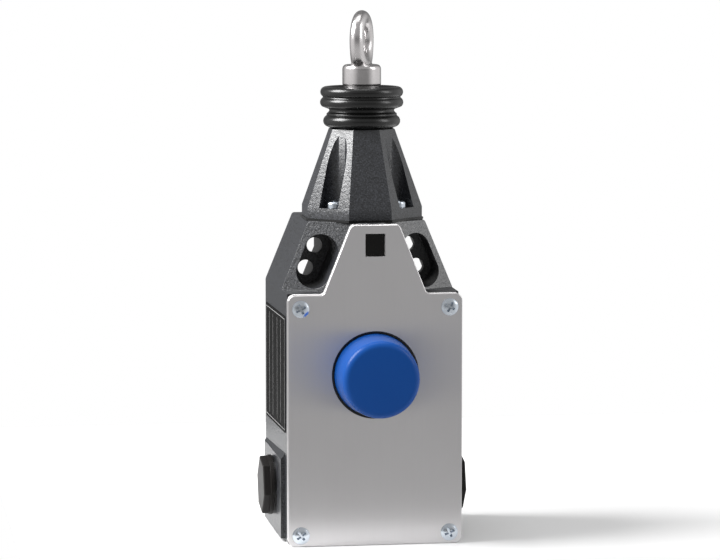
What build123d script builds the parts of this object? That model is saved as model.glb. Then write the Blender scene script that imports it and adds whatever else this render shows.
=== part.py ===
from build123d import *
from math import atan, cos, degrees, hypot, radians, sin, sqrt
import os

# Rope pull switch: a cast housing with a front cover, a pyramid head, a bellows and a rope eye on a sprung rod.
# Millimetres. X to the right, Y to the rear, Z up. The origin is on the rod's axis, at the housing's flat bottom.

# Travels of the rope eye and of the reset button
pull_travel = 12.0
button_travel = 6.0

# Clearances shared by many fits
running_clearance = 0.05
thread_clearance = 0.05
hole_clearance = 0.25
soft_gap = 0.3

# Housing casting
housing_half_width = 42.8
housing_draft = 1.4
housing_depth = 72.5
shoulder_z = 121.0
shoulder_height = 32.7
housing_wall = 3.6
ceiling_thickness = 3.5
housing_edge_r = 1.6
shoulder_edge_r = 3.5
cavity_corner_r = 3.6
neck_inset = 2.2
chamber_wall = 4.0
chamber_front_y = -25.0
throat_half_width = 6.4

# Front cover and its gasket
cover_inset = 0.8
cover_top_over = 0.5
cover_top_width = 23.0
cover_neck_width = 49.6
cover_corner_r = 3.6
cover_neck_r = 2.4
cover_sheet = 2.8
cover_rim_depth = 5.0
cover_rim_wall = 1.6
cover_edge_chamfer = 0.35
gasket_thickness = 2.5
gasket_inset = 0.9
gasket_land = 3.0

# Window in the cover and the clear lens behind it
window_width = 9.7
window_height = 10.9
window_top_gap = 4.3
lens_margin = 1.6
lens_thickness = 2.0

# Shoulder faces, each a plane turned outwards and tilted back
shoulder_turn = 30.0
shoulder_low_y = -18.0
shoulder_high_y = -16.0

# Fixing pockets in the shoulders, the fixing holes in their floors and the hollows behind
fixing_inset = 12.0
upper_fixing_rise = 19.4
lower_fixing_rise = 8.5
pocket_r = 7.4
pocket_floor_y = 3.0
pocket_floor_thickness = 5.0
fixing_hole_r = 3.75
hollow_hole_gap = 0.5
hollow_wall = 5.0
hollow_bottom_gap = 1.6
hollow_top_gap = 3.0

# Side entries with blanking plugs
entry_z = 23.4
entry_y = 0.4
entry_hole_r = 10.0
entry_pad_proud = 0.9
entry_pad_front_y = -28.5
entry_pad_rear_gap = 1.6
entry_pad_rise = 20.1
entry_pad_bottom_z = 1.6
entry_pad_bevel = 3.4
entry_boss_wall = 3.5
entry_boss_depth = 3.0
plug_hex_flats = 24.7
plug_hex_turn = 12.0
plug_hex_length = 3.5
plug_hex_chamfer = 0.5
plug_collar_r = 14.6
plug_collar_length = 1.7
plug_wall = 2.5
plug_cap_thickness = 4.0
seal_ring_r = 14.2
seal_ring_thickness = 1.0
plug_thread_length = 9.5

# Cover screws, raised countersunk, and their bosses
cover_screw_side_gap = 6.1
cover_screw_low_z = 5.5
cover_screw_top_gap = 6.6
cover_screw_r = 2.0
cover_screw_head_r = 4.2
cover_screw_length = 16.0
cover_screw_dome = 1.3
cover_boss_wall = 3.6
cover_post_wall = 3.3
gasket_eyelet_wall = 2.4
cover_boss_depth = 14.0
recess_width = 0.9
recess_depth = 1.5
recess_share = 0.6

# Head screws
head_screw_place = 15.2
head_screw_r = 2.0
head_screw_head_r = 4.0
head_screw_head_height = 3.3
head_screw_depth = 7.0

# Pyramid head
head_gasket_thickness = 1.0
head_gasket_proud = 0.6
flange_screw_land = 12.8
flange_inset = 1.4
flange_front_half = 10.3
flange_thickness = 5.2
head_height = 37.4
head_top_half = 15.2
head_top_front_half = 6.3
scallop_r = 5.6
spring_bore_gap = 1.9
head_roof = 8.0
spigot_wall = 5.7
spigot_height = 4.0

# Rod, eye and what rides on the rod
rod_r = 5.0
bush_wall = 2.5
bush_flange_gap = 0.8
bush_flange_thickness = 1.6
bellows_room = 20.7
eye_collar_height = 9.6
eye_collar_r = 9.4
eye_stock_r = 4.0
eye_ring_r = 10.75
eye_rise = 21.75
eye_turn = 19.0
eye_thread_r = 4.0
eye_thread_length = 7.0
eye_washer_step = 0.6
eye_washer_thickness = 1.2
spring_cup_gap = 0.9
spring_cup_thickness = 2.4
spring_cup_lift = 0.2
spring_cup_seat = 2.0
circlip_thickness = 1.2
circlip_width = 2.5

# Bellows: the folds' heights over the head, their outer radii and the radii of their round cords
bellows_fold_rise = (17.7, 12.7, 3.7)
bellows_fold_r = (20.1, 20.2, 18.7)
bellows_cord_r = (2.6, 2.6, 2.9)
bellows_neck_r = 16.0
bellows_wall = 2.0
bellows_lid_thickness = 2.0

# Springs
main_spring_wire = 2.4
main_spring_r = 9.3
main_spring_turns = 6
button_spring_wire = 1.3
button_spring_r = 9.8
button_spring_turns = 6
plunger_spring_wire = 0.6
plunger_spring_r = 2.4
plunger_spring_turns = 7

# Reset button
button_z = 82.3
button_base_r = 19.7
button_rim_r = 18.1
button_proud = 20.6
button_edge_r = 2.6
button_skirt = 2.6
button_wall = 3.0
button_web = 4.0
button_boss_r = 6.5
button_boss_length = 10.0
button_seal_gap = 0.3
button_seal_width = 1.0
button_seal_sink = 0.2
stem_r = 4.0
stem_reach = 4.4
guide_clearance = 0.4
guide_wall = 2.4
guide_floor_gap = 2.4
guide_floor_thickness = 2.0
guide_hub_r = 7.0
guide_hub_length = 5.8
guide_flange_width = 2.0
guide_flange_thickness = 1.8
stem_clip_thickness = 0.9
stem_clip_r = 6.8
stem_clip_gap = 0.15

# Mechanism frame on the housing's rear wall
frame_rod_gap = 13.0
frame_plate_thickness = 2.0
frame_side_gap = 3.8
frame_tail = 19.5
frame_screw_edge = 5.0
frame_screw_low = 7.0
frame_screw_r = 2.0
frame_screw_head_r = 3.6
frame_screw_head_height = 2.4
frame_boss_r = 5.0
ear_gap = 1.6
ear_thickness = 2.0
ear_edge = 4.5
ear_drop = 6.5
bridge_thickness = 3.0
lower_bush_gap = 0.9
lower_bush_wall = 2.0
lower_bush_height = 6.0
lower_bush_lip = 1.8
lower_bush_lip_height = 1.2

# Latch lever, its pin and the sleeve that it holds
latch_reach = 18.8
latch_stem_gap = 0.8
latch_sleeve_gap = 8.0
latch_pin_r = 2.0
latch_pin_over = 1.0
latch_hub_r = 4.0
latch_hub_gap = 0.5
latch_arm_half_width = 5.0
latch_arm_front = 4.0
latch_arm_rear = 0.5
latch_arm_over = 5.7
latch_tooth_drop = 8.0
latch_tooth_thickness = 2.0
latch_tooth_gap = 0.6
latch_groove_r = 6.4
latch_groove_depth = 1.6
latch_groove_margin = 1.5
latch_groove_spare = 4.0
latch_sleeve_head = 2.5
latch_sleeve_foot = 4.5
rod_nut_flats = 15.0
rod_nut_height = 4.0
rod_end_over = 0.4

# Trip cam and the two contact blocks
plunger_ceiling_gap = 15.5
cam_spare = 1.5
cam_rise = 12.0
cam_top_half_width = 6.4
cam_slope = 0.25
cam_half_depth = 6.0
plunger_tip_r = 3.6
plunger_gap = 0.3
plunger_length = 8.5
block_cam_gap = 2.2
block_width = 20.0
block_depth = 27.0
block_drop = 12.0
block_rise = 12.5
block_step = 4.5
block_step_height = 6.5
block_bore_depth = 15.0
terminal_screw_r = 2.6
terminal_screw_sink = 1.6
terminal_screw_proud = 0.8
terminal_pitch = 13.6
terminal_slot_width = 0.7
terminal_slot_depth = 0.6
block_screw_r = 1.6
block_screw_head_r = 2.9
block_screw_head_height = 2.2
block_screw_edge = 4.0
block_screw_seat = 2.5

# Indicator behind the window
indicator_collar_height = 4.4
indicator_collar_r = 8.0
indicator_collar_drop = 2.2
indicator_arm_half_width = 3.0
indicator_arm_step = 0.6
indicator_flag_half_width = 4.2
indicator_flag_thickness = 1.2
indicator_flag_top_gap = 1.4
indicator_flag_height = 11.6
indicator_lens_gap = 0.9
indicator_band_thickness = 0.5
indicator_band_edge = 0.4

# Earth terminal on the floor and the blank rating label
earth_boss_r = 4.5
earth_boss_height = 5.0
earth_screw_r = 2.0
earth_x = -18.0
earth_y = -6.0
earth_washer_r = 4.2
earth_washer_thickness = 1.0
earth_head_r = 3.5
earth_head_height = 2.6
label_bottom_gap = 9.7
label_top_gap = 11.4
label_front_gap = 5.5
label_rear_gap = 3.0
label_thickness = 0.35

# Radii of the latch sleeve
latch_sleeve_r = latch_groove_r + latch_groove_depth

# Depths, worked out from the latch to the cover, and from there to the rear wall
latch_y = -(latch_sleeve_r + latch_sleeve_gap)
stem_tip_y = latch_y - latch_arm_front - latch_stem_gap
guide_hub_end_y = stem_tip_y - stem_reach
guide_floor_rear_y = guide_hub_end_y - guide_hub_length
guide_floor_front_y = guide_floor_rear_y - guide_floor_thickness
button_rear_y = guide_floor_front_y - button_travel - guide_floor_gap
cover_front_y = button_rear_y - button_skirt
cover_back_y = cover_front_y + cover_sheet
cover_rim_y = cover_front_y + cover_rim_depth
housing_front_y = cover_rim_y + gasket_thickness
housing_rear_y = housing_front_y + housing_depth
cavity_rear_y = housing_rear_y - housing_wall
button_face_y = cover_front_y - button_proud
button_web_y = button_face_y + button_web
button_boss_y = button_web_y + button_boss_length
frame_plate_y = rod_r + frame_rod_gap
frame_rear_y = frame_plate_y + frame_plate_thickness
block_front_y = frame_plate_y - block_depth
block_step_y = block_front_y + block_step
indicator_flag_y = cover_back_y + lens_thickness + indicator_lens_gap + indicator_band_thickness

# Widths
housing_front_half = housing_half_width - housing_draft
cavity_half_width = housing_front_half - housing_wall
cover_half_width = housing_half_width - cover_inset
cover_screw_x = cover_half_width - cover_screw_side_gap
flange_half = head_screw_place + flange_screw_land
shoulder_lean = housing_half_width - flange_half - flange_inset
edge_lean = shoulder_lean / shoulder_height
upper_fixing_x = housing_half_width - edge_lean * upper_fixing_rise - fixing_inset
lower_fixing_x = housing_half_width - edge_lean * lower_fixing_rise - fixing_inset
chamber_half_width = upper_fixing_x - pocket_r - chamber_wall
hollow_inner_x = upper_fixing_x - fixing_hole_r - hollow_hole_gap
entry_pad_x = housing_half_width + entry_pad_proud
frame_half_width = cavity_half_width - frame_side_gap
frame_screw_x = frame_half_width - frame_screw_edge

# Radii round the rod and round the button
spring_bore_r = main_spring_r + main_spring_wire / 2 + spring_bore_gap
spring_cup_r = spring_bore_r - spring_cup_gap
top_opening_r = spring_cup_r - spring_cup_seat
bush_r = rod_r + bush_wall
bush_flange_r = spring_bore_r - bush_flange_gap
spigot_r = bush_r + spigot_wall
circlip_r = rod_r + circlip_width
eye_washer_r = eye_collar_r - eye_washer_step
lower_bush_r = rod_r + lower_bush_wall
ear_inner_x = latch_sleeve_r + ear_gap
ear_outer_x = ear_inner_x + ear_thickness
latch_hub_half = ear_inner_x - latch_hub_gap
button_hole_r = button_base_r + button_seal_gap + button_seal_width
guide_inner_r = button_base_r + guide_clearance
guide_outer_r = guide_inner_r + guide_wall
cover_boss_r = cover_screw_r + cover_boss_wall

# Heights of the housing, the window and the fixings
housing_top_z = shoulder_z + shoulder_height
cavity_top_z = shoulder_z - ceiling_thickness
cover_top_z = housing_top_z + cover_top_over
window_top_z = cover_top_z - window_top_gap
window_bottom_z = window_top_z - window_height
throat_top_z = window_top_z + window_top_gap - gasket_land
upper_fixing_z = shoulder_z + upper_fixing_rise
lower_fixing_z = shoulder_z + lower_fixing_rise
cover_screw_high_z = shoulder_z - cover_screw_top_gap
entry_pad_top_z = entry_z + entry_pad_rise
label_bottom_z = entry_pad_top_z + label_bottom_gap
label_top_z = shoulder_z - label_top_gap

# Heights of the head, the rod and the eye
flange_bottom_z = housing_top_z + head_gasket_thickness
flange_top_z = flange_bottom_z + flange_thickness
head_top_z = flange_top_z + head_height
head_bore_top_z = head_top_z - head_roof
bush_flange_bottom_z = head_bore_top_z - bush_flange_thickness
spigot_top_z = head_top_z + spigot_height
spring_cup_bottom_z = housing_top_z + spring_cup_lift
spring_cup_top_z = spring_cup_bottom_z + spring_cup_thickness
eye_collar_bottom_z = head_top_z + bellows_room
eye_collar_top_z = eye_collar_bottom_z + eye_collar_height
eye_centre_z = eye_collar_bottom_z + eye_rise
washer_bottom_z = eye_collar_bottom_z - eye_washer_thickness
bellows_lid_top_z = washer_bottom_z - soft_gap

# Heights of the latch
latch_z = button_z - latch_reach
latch_arm_top_z = button_z + latch_arm_over
tooth_bottom_z = latch_z - latch_tooth_drop - latch_tooth_thickness / 2
tooth_top_z = tooth_bottom_z + latch_tooth_thickness
latch_groove_top_z = tooth_top_z + latch_groove_margin
latch_groove_bottom_z = tooth_bottom_z - pull_travel - latch_groove_spare
latch_sleeve_top_z = latch_groove_top_z + latch_sleeve_head
latch_sleeve_bottom_z = latch_groove_bottom_z - latch_sleeve_foot
rod_nut_bottom_z = latch_sleeve_bottom_z - rod_nut_height
rod_bottom_z = rod_nut_bottom_z - rod_end_over
ear_bottom_z = latch_z - ear_drop
lower_bush_bottom_z = latch_sleeve_top_z + pull_travel + lower_bush_gap
lower_bush_top_z = lower_bush_bottom_z + lower_bush_height
ear_top_z = lower_bush_top_z - lower_bush_lip_height

# Heights and widths of the cam and the contact blocks
plunger_z = cavity_top_z - plunger_ceiling_gap
cam_top_z = plunger_z + cam_rise
cam_bottom_z = plunger_z - pull_travel - cam_spare
cam_low_half_width = cam_top_half_width + cam_slope * (cam_top_z - cam_bottom_z)
block_bottom_z = plunger_z - block_drop
block_top_z = plunger_z + block_rise
block_inner_x = cam_low_half_width + block_cam_gap
block_outer_x = block_inner_x + block_width
frame_bottom_z = latch_z - frame_tail
frame_top_z = block_top_z + 1.5
frame_screw_rows = (frame_bottom_z + frame_screw_low, block_bottom_z - frame_screw_low)

# Heights of the indicator
indicator_flag_top_z = window_bottom_z - indicator_flag_top_gap
indicator_flag_bottom_z = indicator_flag_top_z - indicator_flag_height
indicator_collar_bottom_z = indicator_flag_bottom_z - indicator_collar_drop
earth_boss_top_z = housing_wall + earth_boss_height


def span(x0, x1, y0, y1, z0, z1):
    """A block between two corners."""
    centre = ((x0 + x1) / 2, (y0 + y1) / 2, (z0 + z1) / 2)
    return Pos(*centre) * Box(abs(x1 - x0), abs(y1 - y0), abs(z1 - z0))


def rod_along_x(radius, x0, x1, y, z):
    return Pos((x0 + x1) / 2, y, z) * Rot(0, 90, 0) * Cylinder(radius, abs(x1 - x0))


def rod_along_y(radius, y0, y1, x, z):
    return Pos(x, (y0 + y1) / 2, z) * Rot(90, 0, 0) * Cylinder(radius, abs(y1 - y0))


def rod_along_z(radius, z0, z1, x=0.0, y=0.0):
    return Pos(x, y, (z0 + z1) / 2) * Cylinder(radius, abs(z1 - z0))


def front_plane(y):
    """The plane across the pull axis at a depth y, seen from the front."""
    return Plane(origin=(0, y, 0), x_dir=(1, 0, 0), z_dir=(0, -1, 0))


def prism_along_y(face, y0, y1):
    """A flat outline in X and Z, drawn out between two depths."""
    return extrude(front_plane(y0) * face, amount=y1 - y0, dir=(0, 1, 0))


def polygon(*points):
    return make_face(Polyline(*points, close=True))


def turned(outline, y=0.0):
    """A solid of revolution about the pull axis, from an outline in radius and height."""
    return Pos(0, y, 0) * revolve(Plane.XZ * outline, axis=Axis.Z)


def button_turned(outline):
    """A solid of revolution about the button's axis, from an outline in radius and depth."""
    shape = revolve(outline, axis=Axis.Y)
    return Pos(0, 0, button_z) * shape


def mirrored(shape):
    return mirror(shape, about=Plane.YZ)


def both_sides(shape):
    """A shape on the right and its mirror image on the left."""
    return [shape, mirrored(shape)]


def coil(wire, radius, turns, length):
    """A round wire spring that stands on the XY plane and is as tall as its length."""
    path = Helix((length - wire) / turns, length - wire, radius)
    start = Plane(origin=path @ 0, z_dir=path % 0)
    return Pos(0, 0, wire / 2) * sweep(start * Circle(wire / 2), path=path, is_frenet=True)


def cover_points(inset):
    """The cover's corners, clockwise from the lower left, moved inwards by an inset."""
    rise = cover_top_z - shoulder_z
    run = (cover_neck_width - cover_top_width) / 2
    slant = hypot(rise, run)
    side = cover_half_width - inset
    neck = cover_neck_width / 2 - inset * (slant - run) / rise
    top = cover_top_width / 2 - inset * (slant - run) / rise
    low, ear, high = inset, shoulder_z - inset, cover_top_z - inset
    right = [(side, low), (side, ear), (neck, ear), (top, high)]
    return [(-x, z) for x, z in right] + [(x, z) for x, z in reversed(right)]


def cover_outline(inset):
    """The cover's outline with its rounded corners, moved inwards by an inset."""
    outer = max(cover_corner_r - inset, 0.4)
    inner = cover_neck_r + inset
    top = max(cover_neck_r - inset, 0.4)
    half = [outer, outer, inner, top]
    return make_face(FilletPolyline(*cover_points(inset), radius=half + half[::-1], close=True))


def side_trim(low, high):
    """What lies outside a right-hand side face through two rear corners, drafted towards the front."""
    drafted = Vector(low.X - housing_draft, housing_front_y, low.Z)
    normal = (high - low).cross(drafted - low).normalized()
    if normal.X < 0:
        normal = normal * -1
    face = Plane(origin=low, x_dir=(high - low).normalized(), z_dir=normal)
    reach = 4 * housing_top_z
    return face * Box(reach, reach, reach, align=(Align.CENTER, Align.CENTER, Align.MIN))


def housing_shell():
    """The casting's outside: drafted sides with leaning shoulders, and its long edges rounded."""
    wide = housing_half_width + 1
    shell = span(-wide, wide, housing_front_y, housing_rear_y, 0, housing_top_z)
    foot = Vector(housing_half_width, housing_rear_y, 0)
    shoulder = Vector(housing_half_width, housing_rear_y, shoulder_z)
    crown = Vector(housing_half_width - shoulder_lean, housing_rear_y, housing_top_z)
    for side in both_sides(side_trim(foot, shoulder)) + both_sides(side_trim(shoulder, crown)):
        shell -= side
    for z, radius in ((0, housing_edge_r), (shoulder_z, shoulder_edge_r), (housing_top_z, housing_edge_r)):
        long_edges = [e for e in shell.edges() if abs((e @ 1).Y - (e @ 0).Y) > housing_depth / 2]
        shell = fillet([e for e in long_edges if abs((e @ 0.5).Z - z) < 1], radius)
    return shell


def octagon(half, front_half):
    right = [(front_half, -half), (half, -front_half), (half, front_half), (front_half, half)]
    return polygon(*(right + [(-x, y) for x, y in reversed(right)]))


def cross_recess(radius, depth):
    """Two crossed slots that stand on the XY plane, to be cut from a screw head."""
    slot = Box(2 * radius, recess_width, depth, align=(Align.CENTER, Align.CENTER, Align.MIN))
    return slot + Rot(0, 0, 90) * slot


def round_head_screw(thread_r, length, head_r, height):
    """A screw with a rounded head on the XY plane and its thread below."""
    head = Cylinder(head_r, height, align=(Align.CENTER, Align.CENTER, Align.MIN))
    head = fillet(head.edges().group_by(Axis.Z)[-1], min(height, head_r) * 0.45)
    thread = Cylinder(thread_r, length, align=(Align.CENTER, Align.CENTER, Align.MAX))
    cut = Pos(0, 0, height - recess_depth) * cross_recess(head_r * recess_share, recess_depth)
    return head + thread - cut


def countersunk_screw():
    """A raised countersunk screw: its rim on the XY plane, its thread below."""
    cone_height = cover_screw_head_r - cover_screw_r
    cone = Pos(0, 0, -cone_height / 2) * Cone(cover_screw_r, cover_screw_head_r, cone_height)
    ball_r = (cover_screw_head_r**2 + cover_screw_dome**2) / (2 * cover_screw_dome)
    dome = Pos(0, 0, cover_screw_dome - ball_r) * Sphere(ball_r)
    dome = dome & Cylinder(cover_screw_head_r, cover_screw_dome, align=(Align.CENTER, Align.CENTER, Align.MIN))
    thread = Cylinder(cover_screw_r, cover_screw_length, align=(Align.CENTER, Align.CENTER, Align.MAX))
    cross = cross_recess(cover_screw_head_r * recess_share, recess_depth)
    cut = Pos(0, 0, cover_screw_dome - recess_depth) * cross
    return cone + dome + thread - cut


def cover_screw_places():
    return [(x, z) for z in (cover_screw_low_z, cover_screw_high_z) for x in (-cover_screw_x, cover_screw_x)]


def head_screw_places():
    return [(x, y) for x in (-head_screw_place, head_screw_place) for y in (-head_screw_place, head_screw_place)]


def frame_screw_places():
    return [(x, z) for x in (-frame_screw_x, frame_screw_x) for z in frame_screw_rows]


def fixing_pocket():
    """The right-hand pocket: a slot with round ends that holds both fixing holes."""
    low = (lower_fixing_x, lower_fixing_z)
    high = (upper_fixing_x, upper_fixing_z)
    run, rise = high[0] - low[0], high[1] - low[1]
    across = Vector(rise, -run).normalized() * pocket_r
    corners = [
        (low[0] + across.X, low[1] + across.Y),
        (high[0] + across.X, high[1] + across.Y),
        (high[0] - across.X, high[1] - across.Y),
        (low[0] - across.X, low[1] - across.Y),
    ]
    slot = prism_along_y(polygon(*corners), housing_front_y - 1, pocket_floor_y)
    for x, z in (low, high):
        slot += rod_along_y(pocket_r, housing_front_y - 1, pocket_floor_y, x, z)
    return slot


def rear_hollow():
    """The right-hand hollow behind a pocket's floor, open to the rear."""
    bottom = shoulder_z + hollow_bottom_gap
    top = housing_top_z - hollow_top_gap
    outer = housing_half_width - hollow_wall
    bend = upper_fixing_z - fixing_hole_r
    low_inner = hollow_inner_x + edge_lean * (bend - bottom)
    outline = polygon(
        (hollow_inner_x, top),
        (outer - edge_lean * (top - shoulder_z), top),
        (outer - edge_lean * hollow_bottom_gap, bottom),
        (low_inner, bottom),
        (hollow_inner_x, bend),
    )
    start = pocket_floor_y + pocket_floor_thickness
    return prism_along_y(outline, start, housing_rear_y + 1)


def shoulder_cut():
    """What the right-hand shoulder face takes off the front of the upper housing."""
    low = Vector(housing_front_half, shoulder_low_y, shoulder_z)
    high = Vector(housing_front_half - shoulder_lean, shoulder_high_y, housing_top_z)
    inwards = Vector(-cos(radians(shoulder_turn)), -sin(radians(shoulder_turn)), 0)
    normal = inwards.cross(high - low).normalized()
    if normal.Y > 0:
        normal = normal * -1
    face = Plane(origin=low, x_dir=inwards, z_dir=normal)
    reach = 4 * housing_half_width
    half_space = face * Box(reach, reach, reach, align=(Align.CENTER, Align.CENTER, Align.MIN))
    right_side = (0, housing_half_width + 1, housing_front_y - 1, housing_rear_y)
    above = span(*right_side, shoulder_z, housing_top_z + 1)
    neck = prism_along_y(cover_outline(neck_inset), housing_front_y - 1, housing_rear_y)
    return (half_space & above) - neck


def entry_pad():
    """The flat raised pad round the right-hand entry."""
    root = cavity_half_width
    outline = polygon(
        (root, entry_pad_bottom_z),
        (entry_pad_x, entry_pad_bottom_z),
        (entry_pad_x, entry_pad_top_z - entry_pad_bevel),
        (housing_front_half, entry_pad_top_z),
        (root, entry_pad_top_z),
    )
    return prism_along_y(outline, entry_pad_front_y, housing_rear_y - entry_pad_rear_gap)


def main_cavity():
    """The hollow of the lower box, open to the front."""
    side = cavity_half_width
    box = span(-side, side, housing_front_y - 1, cavity_rear_y, housing_wall, cavity_top_z)
    return fillet(box.edges().filter_by(Axis.Y), cavity_corner_r)


def chamber():
    """The hollow above the box: a square well round the rod, a throat to the window and a round mouth."""
    well_top = housing_top_z - housing_wall
    half = chamber_half_width
    well = span(-half, half, chamber_front_y, pocket_floor_y, cavity_top_z - 1, well_top)
    wide = hollow_inner_x - hollow_wall
    well += span(-wide, wide, pocket_floor_y, cavity_rear_y, cavity_top_z - 1, well_top)
    narrow = throat_half_width
    throat = span(-narrow, narrow, housing_front_y - 1, chamber_front_y + 1, cavity_top_z - 1, throat_top_z)
    mouth = rod_along_z(top_opening_r, well_top - 1, housing_top_z + 1)
    return well + throat + mouth


def housing_body():
    body = housing_shell()
    for side in both_sides(entry_pad()) + both_sides(neck_rim()):
        body += side
    for side in both_sides(shoulder_cut()):
        body -= side
    body -= main_cavity()
    body -= chamber()
    for side in both_sides(fixing_pocket()) + both_sides(rear_hollow()):
        body -= side
    for side in both_sides(housing_bosses()):
        body += side
    body += rod_along_z(earth_boss_r, housing_wall - 0.5, earth_boss_top_z, earth_x, earth_y)
    body -= rod_along_z(earth_screw_r + thread_clearance, housing_wall, earth_boss_top_z + 1, earth_x, earth_y)
    for side in both_sides(housing_holes()):
        body -= side
    return body


def neck_rim():
    """The right half of the wall that carries the cover beside the window."""
    neck = prism_along_y(cover_outline(neck_inset), housing_front_y, chamber_front_y)
    limits = span(0, housing_half_width, housing_front_y - 1, chamber_front_y + 1, shoulder_z, housing_top_z)
    return neck & limits


def housing_bosses():
    """The right-hand bosses for the cover screws, the frame and the entry."""
    side = cavity_half_width + 0.5
    start = housing_front_y
    entry_boss_r = entry_hole_r + entry_boss_wall
    bosses = rod_along_x(entry_boss_r, cavity_half_width - entry_boss_depth, side, entry_y, entry_z)
    for z in (cover_screw_low_z, cover_screw_high_z):
        bosses += rod_along_y(cover_boss_r, start, start + cover_boss_depth, cover_screw_x, z)
    limits = span(0, side, start, cavity_rear_y + 1, 1.0, shoulder_z - 1.0)
    for z in frame_screw_rows:
        bosses += rod_along_y(frame_boss_r, frame_rear_y, cavity_rear_y + 0.5, frame_screw_x, z)
    return bosses & limits


def housing_holes():
    """The right-hand holes: the entry, the fixing holes and the screw holes."""
    bottom = cover_screw_length - cover_rim_depth - gasket_thickness + 1.0
    boss_end_x = cavity_half_width - entry_boss_depth
    holes = rod_along_x(entry_hole_r, boss_end_x - 1, entry_pad_x + 1, entry_y, entry_z)
    for x, z in ((upper_fixing_x, upper_fixing_z), (lower_fixing_x, lower_fixing_z)):
        holes += rod_along_y(fixing_hole_r, pocket_floor_y - 1, pocket_floor_y + pocket_floor_thickness + 1, x, z)
    for z in (cover_screw_low_z, cover_screw_high_z):
        radius = cover_screw_r + thread_clearance
        holes += rod_along_y(radius, housing_front_y - 1, housing_front_y + bottom, cover_screw_x, z)
    for z in frame_screw_rows:
        radius = frame_screw_r + thread_clearance
        holes += rod_along_y(radius, frame_rear_y - 1, cavity_rear_y - 0.5, frame_screw_x, z)
    for y in (-head_screw_place, head_screw_place):
        radius = head_screw_r + thread_clearance
        holes += rod_along_z(radius, housing_top_z - head_screw_depth - 0.5, housing_top_z + 1, head_screw_place, y)
    return holes


def cover_plate():
    plate = prism_along_y(cover_outline(0.0), cover_front_y, cover_rim_y)
    plate -= prism_along_y(cover_outline(cover_rim_wall), cover_back_y, cover_rim_y + 1)
    plate = chamfer(plate.edges().group_by(Axis.Y)[0], cover_edge_chamfer)
    for x, z in cover_screw_places():
        plate += rod_along_y(cover_screw_r + cover_post_wall, cover_back_y - 0.5, cover_rim_y, x, z)
    plate -= rod_along_y(button_hole_r, cover_front_y - 1, cover_back_y + 1, 0, button_z)
    half = window_width / 2
    plate -= span(-half, half, cover_front_y - 1, cover_back_y + 1, window_bottom_z, window_top_z)
    depth = cover_screw_head_r - cover_screw_r
    for x, z in cover_screw_places():
        plate -= rod_along_y(cover_screw_r + hole_clearance, cover_front_y - 1, cover_rim_y + 1, x, z)
        cone = Cone(cover_screw_r, cover_screw_head_r, depth)
        plate -= Pos(x, cover_front_y + depth / 2, z) * Rot(90, 0, 0) * cone
    return plate


def cover_gasket():
    ring = prism_along_y(cover_outline(gasket_inset), cover_rim_y, housing_front_y)
    hollow = prism_along_y(cover_outline(gasket_inset + gasket_land), cover_rim_y - 1, housing_front_y + 1)
    ring -= hollow
    for x, z in cover_screw_places():
        eyelet = rod_along_y(cover_screw_r + gasket_eyelet_wall, cover_rim_y, housing_front_y, x, z)
        ring += eyelet & prism_along_y(cover_outline(gasket_inset), cover_rim_y, housing_front_y)
    for x, z in cover_screw_places():
        ring -= rod_along_y(cover_screw_r + hole_clearance, cover_rim_y - 1, housing_front_y + 1, x, z)
    return ring


def cover_screws():
    screw = Rot(90, 0, 0) * countersunk_screw()
    return [Pos(x, cover_front_y, z) * screw for x, z in cover_screw_places()]


def window_lens():
    half = window_width / 2 + lens_margin
    low = window_bottom_z - lens_margin
    high = window_top_z + lens_margin
    return span(-half, half, cover_back_y, cover_back_y + lens_thickness, low, high)


def head_gasket():
    grow = head_gasket_proud
    pad = octagon(flange_half + grow, flange_front_half + grow * 0.4)
    ring = extrude(Pos(0, 0, housing_top_z) * pad, amount=head_gasket_thickness)
    ring -= rod_along_z(spring_bore_r, housing_top_z - 1, flange_bottom_z + 1)
    for x, y in head_screw_places():
        ring -= rod_along_z(head_screw_r + hole_clearance, housing_top_z - 1, flange_bottom_z + 1, x, y)
    return ring


def head_casting():
    base = octagon(flange_half, flange_front_half)
    top = octagon(head_top_half, head_top_front_half)
    body = extrude(Pos(0, 0, flange_bottom_z) * base, amount=flange_thickness)
    body += loft([Pos(0, 0, flange_top_z) * base, Pos(0, 0, head_top_z) * top], ruled=True)
    for x, y in head_screw_places():
        reach = 2 * flange_half
        height = head_top_z - flange_top_z + 1
        slot = Pos(0, reach / 2, height / 2) * Box(2 * scallop_r, reach, height)
        slot += rod_along_z(scallop_r, 0, height)
        angle = {(1, 1): -45, (-1, 1): 45, (-1, -1): 135, (1, -1): -135}[(x > 0) * 2 - 1, (y > 0) * 2 - 1]
        body -= Pos(x, y, flange_top_z) * Rot(0, 0, angle) * slot
        body -= rod_along_z(head_screw_r + hole_clearance, flange_bottom_z - 1, flange_top_z + 1, x, y)
    body += rod_along_z(spigot_r, head_top_z - 1, spigot_top_z)
    body -= rod_along_z(spring_bore_r, flange_bottom_z - 1, head_bore_top_z)
    body -= rod_along_z(bush_r, head_bore_top_z - 1, spigot_top_z + 1)
    return body


def head_screws():
    screw = round_head_screw(
        head_screw_r,
        flange_thickness + head_gasket_thickness + head_screw_depth,
        head_screw_head_r,
        head_screw_head_height,
    )
    return [Pos(x, y, flange_top_z) * screw for x, y in head_screw_places()]


def guide_bush():
    bush = rod_along_z(bush_r, bush_flange_bottom_z, spigot_top_z)
    bush += rod_along_z(bush_flange_r, bush_flange_bottom_z, head_bore_top_z)
    return bush - rod_along_z(rod_r + running_clearance, bush_flange_bottom_z - 1, spigot_top_z + 1)


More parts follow.
